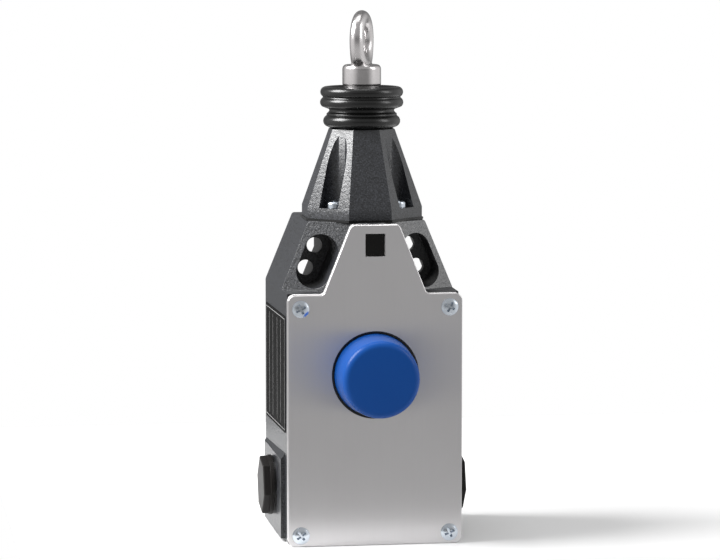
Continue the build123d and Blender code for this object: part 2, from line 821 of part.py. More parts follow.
def bellows():
    """Three rubber folds on a thin wall, with a lip round the head's spigot and a lid under the eye."""
    wall_low = head_top_z + 0.2
    wall_top = bellows_lid_top_z
    wall_middle = bellows_neck_r - bellows_wall / 2
    outline = Pos(wall_middle, (wall_low + wall_top) / 2) * Rectangle(bellows_wall, wall_top - wall_low)
    for radius, rise, cord in zip(bellows_fold_r, bellows_fold_rise, bellows_cord_r):
        z = head_top_z + rise
        bridge = radius - cord - wall_middle
        outline += Pos(radius - cord, z) * Circle(cord)
        outline += Pos(wall_middle + bridge / 2, z) * Rectangle(abs(bridge), cord * 1.5)
    lid_in = rod_r + soft_gap
    lid_z = bellows_lid_top_z - bellows_lid_thickness / 2
    lid = Rectangle(bellows_neck_r - lid_in, bellows_lid_thickness)
    outline += Pos((lid_in + bellows_neck_r) / 2, lid_z) * lid
    lip_in = spigot_r + 0.1
    lip_height = spigot_height - 0.6
    lip = Rectangle(wall_middle - lip_in, lip_height)
    outline += Pos((lip_in + wall_middle) / 2, wall_low + lip_height / 2) * lip
    room_height = spigot_top_z + soft_gap - head_top_z
    outline -= Pos(lip_in / 2, head_top_z + room_height / 2) * Rectangle(lip_in, room_height)
    return turned(outline)


def main_spring():
    length = bush_flange_bottom_z - spring_cup_top_z
    return Pos(0, 0, spring_cup_top_z) * coil(main_spring_wire, main_spring_r, main_spring_turns, length)


def blanking_plug():
    """The right-hand plug: a hexagon, a round collar and the thread in the wall."""
    collar_in = entry_pad_x + seal_ring_thickness
    collar_out = collar_in + plug_collar_length
    end = collar_out + plug_hex_length
    corner_r = plug_hex_flats / 2 / cos(radians(30))
    hexagon = Rot(0, 0, plug_hex_turn) * RegularPolygon(corner_r, 6)
    facing = Plane(origin=(collar_out, entry_y, entry_z), x_dir=(0, 1, 0), z_dir=(1, 0, 0))
    head = extrude(facing * hexagon, amount=plug_hex_length)
    head = chamfer(head.faces().sort_by(Axis.X)[-1].edges(), plug_hex_chamfer)
    plug = head + rod_along_x(plug_collar_r, collar_in, collar_out, entry_y, entry_z)
    thread_r = entry_hole_r - thread_clearance
    plug += rod_along_x(thread_r, collar_in - plug_thread_length, collar_in, entry_y, entry_z)
    bore_start = collar_in - plug_thread_length - 1
    plug -= rod_along_x(thread_r - plug_wall, bore_start, end - plug_cap_thickness, entry_y, entry_z)
    return plug


def plug_seal():
    end = entry_pad_x + seal_ring_thickness
    ring = rod_along_x(seal_ring_r, entry_pad_x, end, entry_y, entry_z)
    return ring - rod_along_x(entry_hole_r, entry_pad_x - 1, end + 1, entry_y, entry_z)


def rating_label():
    """A bare plate on the left side face, flush with the casting's draft."""
    front_y = housing_front_y + label_front_gap
    rear_y = housing_rear_y - label_rear_gap
    middle_y = (front_y + rear_y) / 2
    wall_x = housing_half_width - housing_draft * (housing_rear_y - middle_y) / housing_depth
    lean = degrees(atan(housing_draft / housing_depth))
    height = label_top_z - label_bottom_z
    inwards = (Align.MAX, Align.CENTER, Align.CENTER)
    plate = Box(label_thickness, rear_y - front_y, height, align=inwards)
    return Pos(-wall_x, middle_y, (label_bottom_z + label_top_z) / 2) * Rot(0, 0, lean) * plate


def button_cap():
    front = button_face_y
    outline = polygon(
        (0.0, front),
        (button_rim_r, front),
        (button_base_r, cover_front_y),
        (button_base_r, button_rear_y),
        (button_base_r - button_wall, button_rear_y),
        (button_rim_r - button_wall, button_web_y),
        (0.0, button_web_y),
    )
    cap = button_turned(outline)
    rim = cap.edges().filter_by(GeomType.CIRCLE).group_by(Axis.Y)[0]
    cap = fillet(rim, button_edge_r)
    cap += rod_along_y(button_boss_r, button_web_y - 0.5, button_boss_y, 0, button_z)
    return cap - rod_along_y(stem_r, button_web_y, button_boss_y + 1, 0, button_z)


def button_stem():
    straight_end = stem_tip_y - stem_dome()
    stem = rod_along_y(stem_r, button_web_y, straight_end, 0, button_z)
    ball = Pos(0, stem_tip_y - stem_nose_r(), button_z) * Sphere(stem_nose_r())
    nose = ball & rod_along_y(stem_r, straight_end, stem_tip_y, 0, button_z)
    return stem + nose


def stem_nose_r():
    return stem_r * 1.25


def stem_dome():
    """How far the stem's rounded nose stands out past its straight side."""
    ball = stem_nose_r()
    return ball - sqrt(ball**2 - stem_r**2)


def stem_clip():
    start = guide_hub_end_y + stem_clip_gap
    ring = rod_along_y(stem_clip_r, start, start + stem_clip_thickness, 0, button_z)
    return ring - rod_along_y(stem_r, start - 1, start + stem_clip_thickness + 1, 0, button_z)


def button_seal():
    inner = button_base_r + button_seal_gap
    front = cover_front_y + button_seal_sink
    ring = rod_along_y(button_hole_r, front, cover_back_y, 0, button_z)
    return ring - rod_along_y(inner, front - 1, cover_back_y + 1, 0, button_z)


def button_guide():
    """A cup behind the cover that carries the button's stem and spring."""
    front = cover_back_y
    cup = rod_along_y(guide_outer_r, front, guide_floor_rear_y, 0, button_z)
    flange_r = guide_outer_r + guide_flange_width
    cup += rod_along_y(flange_r, front, front + guide_flange_thickness, 0, button_z)
    cup -= rod_along_y(guide_inner_r, front - 1, guide_floor_front_y, 0, button_z)
    cup += rod_along_y(guide_hub_r, guide_floor_front_y, guide_hub_end_y, 0, button_z)
    return cup - rod_along_y(stem_r + running_clearance, front - 1, guide_hub_end_y + 1, 0, button_z)


def button_spring():
    length = guide_floor_front_y - button_web_y
    spring = coil(button_spring_wire, button_spring_r, button_spring_turns, length)
    return Pos(0, guide_floor_front_y, button_z) * Rot(90, 0, 0) * spring


def mechanism_frame():
    rear = frame_rear_y
    half = frame_half_width
    frame = span(-half, half, frame_plate_y, rear, frame_bottom_z, frame_top_z)
    ear_front_y = latch_y - ear_edge
    for side in (-1, 1):
        ear = span(side * ear_inner_x, side * ear_outer_x, ear_front_y, frame_plate_y, ear_bottom_z, ear_top_z)
        frame += ear
    top = ear_top_z
    frame += span(-ear_inner_x, ear_inner_x, -lower_bush_r - 2, frame_plate_y, top - bridge_thickness, top)
    frame -= rod_along_z(lower_bush_r, top - bridge_thickness - 1, top + 1)
    frame -= rod_along_x(latch_pin_r, -ear_outer_x - 1, ear_outer_x + 1, latch_y, latch_z)
    for x, z in frame_screw_places():
        frame -= rod_along_y(frame_screw_r + hole_clearance, frame_plate_y - 1, rear + 1, x, z)
    for x, z in block_screw_places():
        frame -= rod_along_y(block_screw_r + thread_clearance, frame_plate_y - 1, rear + 1, x, z)
    return frame


def frame_screws():
    depth = cavity_rear_y - 1.5 - frame_plate_y
    screw = Rot(90, 0, 0) * round_head_screw(frame_screw_r, depth, frame_screw_head_r, frame_screw_head_height)
    return [Pos(x, frame_plate_y, z) * screw for x, z in frame_screw_places()]


def lower_bush():
    bottom, top = lower_bush_bottom_z, lower_bush_top_z
    bush = rod_along_z(lower_bush_r, bottom, ear_top_z)
    bush += rod_along_z(lower_bush_r + lower_bush_lip, ear_top_z, top)
    return bush - rod_along_z(rod_r + running_clearance, bottom - 1, top + 1)


def latch_pin():
    half = ear_outer_x + latch_pin_over
    return rod_along_x(latch_pin_r, -half, half, latch_y, latch_z)


def latch_lever():
    front = latch_y - latch_arm_front
    rear = latch_y - latch_arm_rear
    half = latch_arm_half_width
    lever = span(-half, half, front, rear, latch_z, latch_arm_top_z)
    lever = chamfer(lever.edges().filter_by(Axis.X).group_by(Axis.Z)[-1], 1.0)
    lever += rod_along_x(latch_hub_r, -latch_hub_half, latch_hub_half, latch_y, latch_z)
    tooth_tip_r = latch_groove_r + latch_tooth_gap
    lever += span(-half, half, front, latch_y, tooth_bottom_z, latch_z)
    lever += span(-half, half, latch_y, -tooth_tip_r, tooth_bottom_z, tooth_top_z)
    lever -= rod_along_z(tooth_tip_r, tooth_bottom_z - 1, tooth_top_z + 1)
    bore_half = latch_hub_half + 1
    return lever - rod_along_x(latch_pin_r + running_clearance, -bore_half, bore_half, latch_y, latch_z)


def pull_rod():
    rod = rod_along_z(rod_r, rod_bottom_z, eye_collar_bottom_z)
    rod = chamfer(rod.edges().group_by(Axis.Z)[0], 0.6)
    thread = rod_along_z(eye_thread_r, eye_collar_bottom_z, eye_collar_bottom_z + eye_thread_length)
    return rod + thread


def eye_nut():
    collar = rod_along_z(eye_collar_r, eye_collar_bottom_z, eye_collar_top_z)
    collar = fillet(collar.edges().group_by(Axis.Z)[-1], 1.8)
    collar = fillet(collar.edges().group_by(Axis.Z)[0], 0.6)
    ring = Pos(0, 0, eye_centre_z) * Rot(0, 0, -eye_turn) * Rot(0, 90, 0) * Torus(eye_ring_r, eye_stock_r)
    root_z = eye_centre_z - eye_ring_r
    start_z = eye_collar_top_z - 1
    neck = Cone(eye_stock_r * 1.7, eye_stock_r * 1.02, root_z - start_z)
    neck = Pos(0, 0, (start_z + root_z) / 2) * neck
    nut = collar + neck + ring
    end = eye_collar_bottom_z + eye_thread_length
    return nut - rod_along_z(eye_thread_r + thread_clearance, eye_collar_bottom_z - 1, end + 0.4)


def rod_ring(outer_r, z0, z1):
    """A plain ring on the rod."""
    return rod_along_z(outer_r, z0, z1) - rod_along_z(rod_r, z0 - 1, z1 + 1)


def spring_cup():
    cup = rod_ring(spring_cup_r, spring_cup_bottom_z, spring_cup_top_z)
    lip = rod_along_z(main_spring_r - main_spring_wire / 2 - 0.4, spring_cup_top_z, spring_cup_top_z + 1.5)
    return cup + lip - rod_along_z(rod_r, spring_cup_bottom_z - 1, spring_cup_top_z + 3)


def cup_circlip():
    return rod_ring(circlip_r, spring_cup_bottom_z - circlip_thickness, spring_cup_bottom_z)


def cam_half_width(z):
    return cam_top_half_width + cam_slope * (cam_top_z - z)


def trip_cam():
    low, high = cam_low_half_width, cam_top_half_width
    outline = polygon((-low, cam_bottom_z), (low, cam_bottom_z), (high, cam_top_z), (-high, cam_top_z))
    cam = prism_along_y(outline, -cam_half_depth, cam_half_depth)
    return cam - rod_along_z(rod_r, cam_bottom_z - 1, cam_top_z + 1)


def cam_retainers():
    low = rod_ring(circlip_r, cam_bottom_z - circlip_thickness, cam_bottom_z)
    high = rod_ring(circlip_r - 1.4, cam_top_z, cam_top_z + circlip_thickness)
    return [low, high]


def latch_sleeve():
    sleeve = rod_along_z(latch_sleeve_r, latch_sleeve_bottom_z, latch_sleeve_top_z)
    groove = rod_along_z(latch_sleeve_r + 1, latch_groove_bottom_z, latch_groove_top_z)
    groove -= rod_along_z(latch_groove_r, latch_groove_bottom_z, latch_groove_top_z)
    return sleeve - groove - rod_along_z(rod_r, latch_sleeve_bottom_z - 1, latch_sleeve_top_z + 1)


def indicator_flag():
    low = indicator_collar_bottom_z
    high = low + indicator_collar_height
    collar = rod_along_z(indicator_collar_r, low, high)
    arm_half, step = indicator_arm_half_width, indicator_arm_step
    arm = span(-arm_half, arm_half, indicator_flag_y, 0, low + step, high - step)
    half = indicator_flag_half_width
    back = indicator_flag_y + indicator_flag_thickness
    plate = span(-half, half, indicator_flag_y, back, indicator_flag_bottom_z, indicator_flag_top_z)
    return collar + arm + plate - rod_along_z(rod_r, low - 1, high + 1)


def indicator_band():
    """A coloured mark on the front of the indicator's flag."""
    edge = indicator_band_edge
    half = indicator_flag_half_width - edge
    front = indicator_flag_y - indicator_band_thickness
    low, high = indicator_flag_bottom_z + edge, indicator_flag_top_z - edge
    return span(-half, half, front, indicator_flag_y, low, high)


def rod_end_nut():
    hexagon = RegularPolygon(rod_nut_flats / 2 / cos(radians(30)), 6)
    nut = extrude(Pos(0, 0, rod_nut_bottom_z) * hexagon, amount=rod_nut_height)
    return nut - rod_along_z(rod_r, rod_nut_bottom_z - 1, latch_sleeve_bottom_z + 1)


def plunger_ball_x():
    """Where the ball of a plunger's nose stands clear of the cam's slope at rest."""
    away = (plunger_tip_r + plunger_gap) * hypot(1, cam_slope)
    return cam_half_width(plunger_z) + away


def contact_plunger():
    """The right-hand plunger, with a round nose towards the cam."""
    ball_x = plunger_ball_x()
    end = ball_x + plunger_length
    nose = Pos(ball_x, 0, plunger_z) * Sphere(plunger_tip_r)
    return nose + rod_along_x(plunger_tip_r, ball_x, end, 0, plunger_z)


def block_screw_places():
    x = (block_inner_x + block_outer_x) / 2
    rows = (block_bottom_z + block_screw_edge, block_top_z - block_screw_edge)
    return [(side * x, z) for side in (-1, 1) for z in rows]


def terminal_places():
    middle = (block_inner_x + block_outer_x) / 2
    rows = (block_bottom_z + block_step_height / 2, block_top_z - block_step_height / 2)
    offsets = (-terminal_pitch / 2, terminal_pitch / 2)
    return [(side * (middle + dx), z) for side in (-1, 1) for dx in offsets for z in rows]


def contact_block():
    """The right-hand contact block, with its plunger bore, terminal steps and screw holes."""
    block = span(block_inner_x, block_outer_x, block_front_y, frame_plate_y, block_bottom_z, block_top_z)
    wide = (block_inner_x - 1, block_outer_x + 1, block_front_y - 1, block_step_y)
    block -= span(*wide, block_bottom_z - 1, block_bottom_z + block_step_height)
    block -= span(*wide, block_top_z - block_step_height, block_top_z + 1)
    bore_r = plunger_tip_r + running_clearance
    block -= rod_along_x(bore_r, block_inner_x - 1, block_inner_x + block_bore_depth, 0, plunger_z)
    for x, z in block_screw_places():
        if x > 0:
            block -= rod_along_y(block_screw_r + hole_clearance, block_front_y, frame_plate_y + 1, x, z)
            seat_y = block_step_y + block_screw_seat
            block -= rod_along_y(block_screw_head_r + hole_clearance, block_front_y, seat_y, x, z)
    for x, z in terminal_places():
        if x > 0:
            sink = block_step_y + terminal_screw_sink
            block -= rod_along_y(terminal_screw_r + hole_clearance, block_front_y, sink, x, z)
    return block


def terminal_screws():
    """Slotted terminal screws, sunk in the blocks' steps."""
    length = terminal_screw_sink + terminal_screw_proud
    slot = Box(2 * terminal_screw_r, terminal_slot_width, 2 * terminal_slot_depth)
    screw = Cylinder(terminal_screw_r, length) - Pos(0, 0, length / 2) * slot
    y = block_step_y + terminal_screw_sink - length / 2
    return [Pos(x, y, z) * Rot(90, 0, 0) * screw for x, z in terminal_places()]


def block_screws():
    seat_y = block_step_y + block_screw_seat
    length = frame_rear_y - seat_y + 1.0
    screw = round_head_screw(block_screw_r, length, block_screw_head_r, block_screw_head_height)
    screw = Rot(90, 0, 0) * screw
    return [Pos(x, seat_y, z) * screw for x, z in block_screw_places()]


def plunger_spring():
    start = plunger_ball_x() + plunger_length
    length = block_inner_x + block_bore_depth - start
    spring = coil(plunger_spring_wire, plunger_spring_r, plunger_spring_turns, length)
    return Pos(start, 0, plunger_z) * Rot(0, 90, 0) * spring


def earth_terminal():
    """The earth screw and its clamp washer on the floor boss."""
    low, high = earth_boss_top_z, earth_boss_top_z + earth_washer_thickness
    washer = rod_along_z(earth_washer_r, low, high, earth_x, earth_y)
    washer -= rod_along_z(earth_screw_r + hole_clearance, low - 1, high + 1, earth_x, earth_y)
    length = earth_boss_height + earth_washer_thickness - 0.6
    screw = round_head_screw(earth_screw_r, length, earth_head_r, earth_head_height)
    return washer, Pos(earth_x, earth_y, high) * screw


def write(name, *solids):
    shape = solids[0] if len(solids) == 1 else Compound(children=list(solids))
    shape.label = name
    export_step(shape, f"parts/{name}.step")


os.makedirs("parts", exist_ok=True)
earth_washer, earth_screw = earth_terminal()

write("housing_body", housing_body())
write("cover_plate", cover_plate())
write("cover_gasket", cover_gasket())
write("cover_screws", *cover_screws())
write("window_lens", window_lens())
write("head_gasket", head_gasket())
write("head_casting", head_casting())
write("head_screws", *head_screws())
write("upper_guide_bush", guide_bush())
write("bellows", bellows())
write("main_spring", main_spring())
write("blanking_plug_right", blanking_plug())
write("blanking_plug_left", mirrored(blanking_plug()))
write("plug_seal_right", plug_seal())
write("plug_seal_left", mirrored(plug_seal()))
write("rating_label", rating_label())
write("button_guide", button_guide())
write("button_seal", button_seal())
write("button_spring", button_spring())
write("mechanism_frame", mechanism_frame())
write("frame_screws", *frame_screws())
write("lower_guide_bush", lower_bush())
write("latch_pin", latch_pin())
write("contact_block_right", contact_block())
write("contact_block_left", mirrored(contact_block()))
write("block_screws", *block_screws())
write("terminal_screws", *terminal_screws())
write("plunger_spring_right", plunger_spring())
write("plunger_spring_left", mirrored(plunger_spring()))
write("earth_washer", earth_washer)
write("earth_screw", earth_screw)
write("pull_rod", pull_rod())
write("eye_nut", eye_nut())
write("eye_washer", rod_ring(eye_washer_r, washer_bottom_z, eye_collar_bottom_z))
write("spring_cup", spring_cup())
write("cup_circlip", cup_circlip())
write("trip_cam", trip_cam())
write("cam_retainers", *cam_retainers())
write("indicator_flag", indicator_flag())
write("indicator_band", indicator_band())
write("latch_sleeve", latch_sleeve())
write("rod_end_nut", rod_end_nut())
write("reset_button_cap", button_cap())
write("button_stem", button_stem())
write("stem_clip", stem_clip())
write("latch_lever", latch_lever())
write("contact_plunger_right", contact_plunger())
write("contact_plunger_left", mirrored(contact_plunger()))
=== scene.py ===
import bmesh
import bpy
import math
from mathutils import Matrix, Vector


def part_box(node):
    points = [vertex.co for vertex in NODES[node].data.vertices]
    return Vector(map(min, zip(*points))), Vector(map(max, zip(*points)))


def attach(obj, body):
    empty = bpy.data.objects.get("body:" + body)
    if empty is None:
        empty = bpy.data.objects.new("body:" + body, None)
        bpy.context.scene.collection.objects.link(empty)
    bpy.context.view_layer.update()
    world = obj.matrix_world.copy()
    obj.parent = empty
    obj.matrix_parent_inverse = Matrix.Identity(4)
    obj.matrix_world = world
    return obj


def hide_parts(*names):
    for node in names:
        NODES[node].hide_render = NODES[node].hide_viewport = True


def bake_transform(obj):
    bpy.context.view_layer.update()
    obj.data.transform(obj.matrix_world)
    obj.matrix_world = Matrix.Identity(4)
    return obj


# Rope pull switch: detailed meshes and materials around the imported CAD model, in metres.
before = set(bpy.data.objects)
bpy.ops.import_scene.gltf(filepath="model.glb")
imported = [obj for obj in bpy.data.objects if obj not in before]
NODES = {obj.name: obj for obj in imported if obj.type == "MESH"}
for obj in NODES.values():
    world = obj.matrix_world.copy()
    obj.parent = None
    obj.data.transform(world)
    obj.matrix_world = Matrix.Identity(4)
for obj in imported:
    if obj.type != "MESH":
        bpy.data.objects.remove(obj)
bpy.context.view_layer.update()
MM = 0.001


# Materials

def shader(name, colour, roughness, metallic=0.0, **sockets):
    """A new material, with its node tree and its Principled shader."""
    material = bpy.data.materials.new(name)
    material.use_nodes = True
    tree = material.node_tree
    principled = tree.nodes["Principled BSDF"]
    principled.inputs["Base Color"].default_value = (*colour, 1.0)
    principled.inputs["Roughness"].default_value = roughness
    principled.inputs["Metallic"].default_value = metallic
    for socket, value in sockets.items():
        principled.inputs[socket.replace("_", " ")].default_value = value
    material.diffuse_color = (*colour, 1.0)
    return material, tree, principled


def coordinates(tree, scale=(1.0, 1.0, 1.0)):
    """A place on the object itself, in metres, scaled along each axis."""
    source = tree.nodes.new("ShaderNodeTexCoord")
    mapping = tree.nodes.new("ShaderNodeMapping")
    mapping.inputs["Scale"].default_value = scale
    tree.links.new(source.outputs["Object"], mapping.inputs["Vector"])
    return mapping.outputs["Vector"]


def noise(tree, vector, scale, detail, roughness):
    node = tree.nodes.new("ShaderNodeTexNoise")
    node.inputs["Scale"].default_value = scale
    node.inputs["Detail"].default_value = detail
    node.inputs["Roughness"].default_value = roughness
    tree.links.new(vector, node.inputs["Vector"])
    return node.outputs["Fac"]


def remap(tree, value, low, high, to_low, to_high):
    """A value that runs from low to high, taken to the range from to_low to to_high."""
    node = tree.nodes.new("ShaderNodeMapRange")
    node.inputs["From Min"].default_value = low
    node.inputs["From Max"].default_value = high
    node.inputs["To Min"].default_value = to_low
    node.inputs["To Max"].default_value = to_high
    tree.links.new(value, node.inputs["Value"])
    return node.outputs["Result"]


def blend_colours(tree, factor, first, second):
    node = tree.nodes.new("ShaderNodeMix")
    node.data_type = "RGBA"
    node.inputs[6].default_value = (*first, 1.0)
    node.inputs[7].default_value = (*second, 1.0)
    tree.links.new(factor, node.inputs[0])
    return node.outputs[2]


def combine(tree, operation, first, second):
    node = tree.nodes.new("ShaderNodeMath")
    node.operation = operation
    for socket, value in zip(node.inputs, (first, second)):
        if isinstance(value, (int, float)):
            socket.default_value = value
        else:
            tree.links.new(value, socket)
    return node.outputs[0]


def weighted(tree, first, first_share, second, second_share):
    """Two values added up in their shares."""
    parts = (combine(tree, "MULTIPLY", first, first_share), combine(tree, "MULTIPLY", second, second_share))
    return combine(tree, "ADD", *parts)


def bump(tree, principled, height, distance, strength=1.0):
    node = tree.nodes.new("ShaderNodeBump")
    node.inputs["Distance"].default_value = distance
    node.inputs["Strength"].default_value = strength
    tree.links.new(height, node.inputs["Height"])
    tree.links.new(node.outputs["Normal"], principled.inputs["Normal"])


def feed(tree, principled, socket, value):
    tree.links.new(value, principled.inputs[socket])


def powder_coat():
    """Textured dark grey powder coat on a die casting: a leathery grain with fine pale flecks."""
    material, tree, principled = shader("powder_coat", (0.016, 0.017, 0.020), 0.34, Specular_IOR_Level=0.74)
    vector = coordinates(tree)
    grain = noise(tree, vector, 1500.0, 2.0, 0.5)
    coarse = noise(tree, vector, 620.0, 2.0, 0.5)
    cloud = noise(tree, vector, 28.0, 3.0, 0.5)
    fleck = remap(tree, noise(tree, vector, 1500.0, 1.5, 0.5), 0.42, 0.76, 0.0, 1.0)
    tone = weighted(tree, fleck, 0.85, cloud, 0.15)
    feed(tree, principled, "Base Color", blend_colours(tree, tone, (0.003, 0.0035, 0.0045), (0.046, 0.049, 0.058)))
    feed(tree, principled, "Roughness", remap(tree, grain, 0.3, 0.7, 0.26, 0.38))
    height = weighted(tree, grain, 0.5, coarse, 0.7)
    bump(tree, principled, height, 0.00018)
    return material


def satin_plate():
    """Satin stainless sheet with a fine upright grain."""
    material, tree, principled = shader("satin_stainless", (0.56, 0.54, 0.53), 0.46, 1.0, Anisotropic=0.92)
    grain = tree.nodes.new("ShaderNodeTangent")
    grain.direction_type = "RADIAL"
    grain.axis = "Z"
    tree.links.new(grain.outputs["Tangent"], principled.inputs["Tangent"])
    lines = noise(tree, coordinates(tree, (9000.0, 9000.0, 110.0)), 1.0, 3.0, 0.6)
    broad = noise(tree, coordinates(tree, (900.0, 900.0, 22.0)), 1.0, 2.0, 0.5)
    cloud = noise(tree, coordinates(tree), 24.0, 3.0, 0.5)
    tone = weighted(tree, lines, 0.5, cloud, 0.5)
    feed(tree, principled, "Base Color", blend_colours(tree, tone, (0.61, 0.595, 0.60), (0.71, 0.70, 0.705)))
    wear = weighted(tree, lines, 0.6, broad, 0.4)
    feed(tree, principled, "Roughness", remap(tree, wear, 0.3, 0.7, 0.42, 0.50))
    bump(tree, principled, lines, 0.00003, 0.5)
    return material


def bright_metal(name, dark, light, roughness, grain, depth=0.00003):
    """A bright metal whose tone, polish and surface vary slightly."""
    material, tree, principled = shader(name, light, roughness, 1.0)
    vector = coordinates(tree)
    fine = noise(tree, vector, grain, 3.0, 0.55)
    cloud = noise(tree, vector, grain * 0.12, 3.0, 0.5)
    feed(tree, principled, "Base Color", blend_colours(tree, cloud, dark, light))
    mix = weighted(tree, fine, 0.5, cloud, 0.5)
    feed(tree, principled, "Roughness", remap(tree, mix, 0.3, 0.7, roughness * 0.7, roughness * 1.35))
    bump(tree, principled, fine, depth)
    return material


def moulded(name, dark, light, roughness, grain, depth=0.00002, spread=0.15, **sockets):
    """A moulded plastic or rubber with a fine surface and a slight cloudiness."""
    material, tree, principled = shader(name, light, roughness, 0.0, **sockets)
    vector = coordinates(tree)
    fine = noise(tree, vector, grain, 2.0, 0.5)
    cloud = noise(tree, vector, 60.0, 3.0, 0.5)
    feed(tree, principled, "Base Color", blend_colours(tree, cloud, dark, light))
    mix = weighted(tree, fine, 0.4, cloud, 0.6)
    feed(tree, principled, "Roughness", remap(tree, mix, 0.2, 0.8, roughness * (1 - spread), roughness * (1 + spread)))
    if depth:
        bump(tree, principled, fine, depth)
    return material


def smoked_window():
    """A dark tinted lens, through which the flag shows faintly."""
    material, tree, principled = shader("smoked_window", (0.008, 0.007, 0.007), 0.05, Transmission_Weight=0.4, IOR=1.49,
                                        Specular_IOR_Level=0.05)
    haze = noise(tree, coordinates(tree), 300.0, 2.0, 0.5)
    feed(tree, principled, "Roughness", remap(tree, haze, 0.3, 0.7, 0.04, 0.10))
    feed(tree, principled, "Base Color", blend_colours(tree, haze, (0.006, 0.005, 0.005), (0.010, 0.009, 0.008)))
    return material


COAT = powder_coat()
PLATE = satin_plate()
ZINC = bright_metal("blue_zinc", dark=(0.50, 0.55, 0.61), light=(0.64, 0.68, 0.73), roughness=0.22, grain=1500.0,
                    depth=0.00001)
POLISHED = bright_metal("polished_stainless", dark=(0.52, 0.50, 0.50), light=(0.62, 0.60, 0.60), roughness=0.25,
                        grain=500.0, depth=0.000004)
MACHINED = bright_metal("machined_steel", dark=(0.42, 0.42, 0.43), light=(0.58, 0.58, 0.59), roughness=0.32,
                        grain=1200.0)
SPRING = bright_metal("spring_steel", dark=(0.34, 0.34, 0.36), light=(0.50, 0.50, 0.51), roughness=0.28, grain=1600.0)
BRONZE = bright_metal("bearing_bronze", dark=(0.52, 0.33, 0.15), light=(0.68, 0.46, 0.22), roughness=0.36,
                      grain=1100.0)
BRASS = bright_metal("plain_brass", dark=(0.66, 0.50, 0.22), light=(0.82, 0.66, 0.32), roughness=0.28, grain=1100.0)
RUBBER = moulded("black_rubber", dark=(0.002, 0.002, 0.002), light=(0.004, 0.004, 0.004), roughness=0.27,
                 grain=1500.0, depth=0.00002, Specular_IOR_Level=0.45)
BLACK = moulded("black_plastic", dark=(0.008, 0.007, 0.007), light=(0.014, 0.013, 0.012), roughness=0.42,
                grain=1300.0, depth=0.00004, Specular_IOR_Level=0.16)
BLUE = moulded("blue_plastic", dark=(0.005, 0.058, 0.260), light=(0.006, 0.063, 0.278), roughness=0.32, grain=900.0,
               depth=0.0, spread=0.03, Specular_IOR_Level=0.15)
IVORY = moulded("ivory_plastic", dark=(0.56, 0.53, 0.44), light=(0.66, 0.63, 0.55), roughness=0.42, grain=1200.0)
ACETAL = moulded("white_acetal", dark=(0.74, 0.74, 0.72), light=(0.84, 0.84, 0.82), roughness=0.34, grain=1200.0)
GREEN = moulded("green_mark", dark=(0.040, 0.36, 0.10), light=(0.060, 0.46, 0.14), roughness=0.30, grain=1500.0)
LABEL = moulded("black_label", dark=(0.006, 0.006, 0.006), light=(0.010, 0.010, 0.010), roughness=0.75, grain=1500.0,
                depth=0.00001, Specular_IOR_Level=0.05)
LINE = moulded("pale_line", dark=(0.22, 0.22, 0.22), light=(0.32, 0.32, 0.32), roughness=0.75, grain=1500.0,
               depth=0.00001, Specular_IOR_Level=0.05)
WINDOW = smoked_window()

NODE_MATERIALS = {
    COAT: ["housing_body", "head_casting"],
    PLATE: ["cover_plate"],
    ZINC: ["cover_screws", "head_screws", "frame_screws", "block_screws", "terminal_screws", "earth_screw"],
    POLISHED: ["eye_nut", "eye_washer"],
    MACHINED: ["pull_rod", "spring_cup", "rod_end_nut", "latch_sleeve", "latch_lever", "latch_pin", "mechanism_frame",
               "cam_retainers", "cup_circlip", "stem_clip", "button_stem"],
    SPRING: ["main_spring", "button_spring", "plunger_spring_right", "plunger_spring_left"],
    BRONZE: ["upper_guide_bush", "lower_guide_bush"],
    BRASS: ["earth_washer"],
    RUBBER: ["bellows", "cover_gasket", "head_gasket", "plug_seal_right", "plug_seal_left", "button_seal"],
    BLACK: ["blanking_plug_right", "blanking_plug_left"],
    BLUE: ["reset_button_cap"],
    IVORY: ["contact_block_right", "contact_block_left"],
    ACETAL: ["button_guide", "trip_cam", "indicator_flag", "contact_plunger_right", "contact_plunger_left"],
    GREEN: ["indicator_band"],
    LABEL: ["rating_label"],
    WINDOW: ["window_lens"],
}
for material, names in NODE_MATERIALS.items():
    for name in names:
        mesh = NODES[name].data
        mesh.materials.clear()
        mesh.materials.append(material)


# Mesh helpers

def finish_piece(name, bm, material, body, replaced, sharp):
    """A shown piece from a bmesh in the frame's place: its finish, its body and the nodes that it stands for.

    A piece given no body is left unattached here. Edges over sharp degrees stay sharp.
    """
    bmesh.ops.recalc_face_normals(bm, faces=bm.faces)
    mesh = bpy.data.meshes.new(name)
    bm.to_mesh(mesh)
    bm.free()
    mesh.polygons.foreach_set("use_smooth", [True] * len(mesh.polygons))
    mesh.set_sharp_from_angle(angle=math.radians(sharp))
    mesh.materials.append(material)
    piece = bpy.data.objects.new(name, mesh)
    bpy.context.scene.collection.objects.link(piece)
    if body:
        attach(piece, body)
    if replaced:
        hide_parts(*replaced)
    return piece


def arc(centre, radius, start, end, steps):
    """Points on an arc of a profile, angles in degrees."""
    points = []
    for i in range(steps + 1):
        angle = math.radians(start + (end - start) * i / steps)
        points.append((centre[0] + radius * math.cos(angle), centre[1] + radius * math.sin(angle)))
    return points


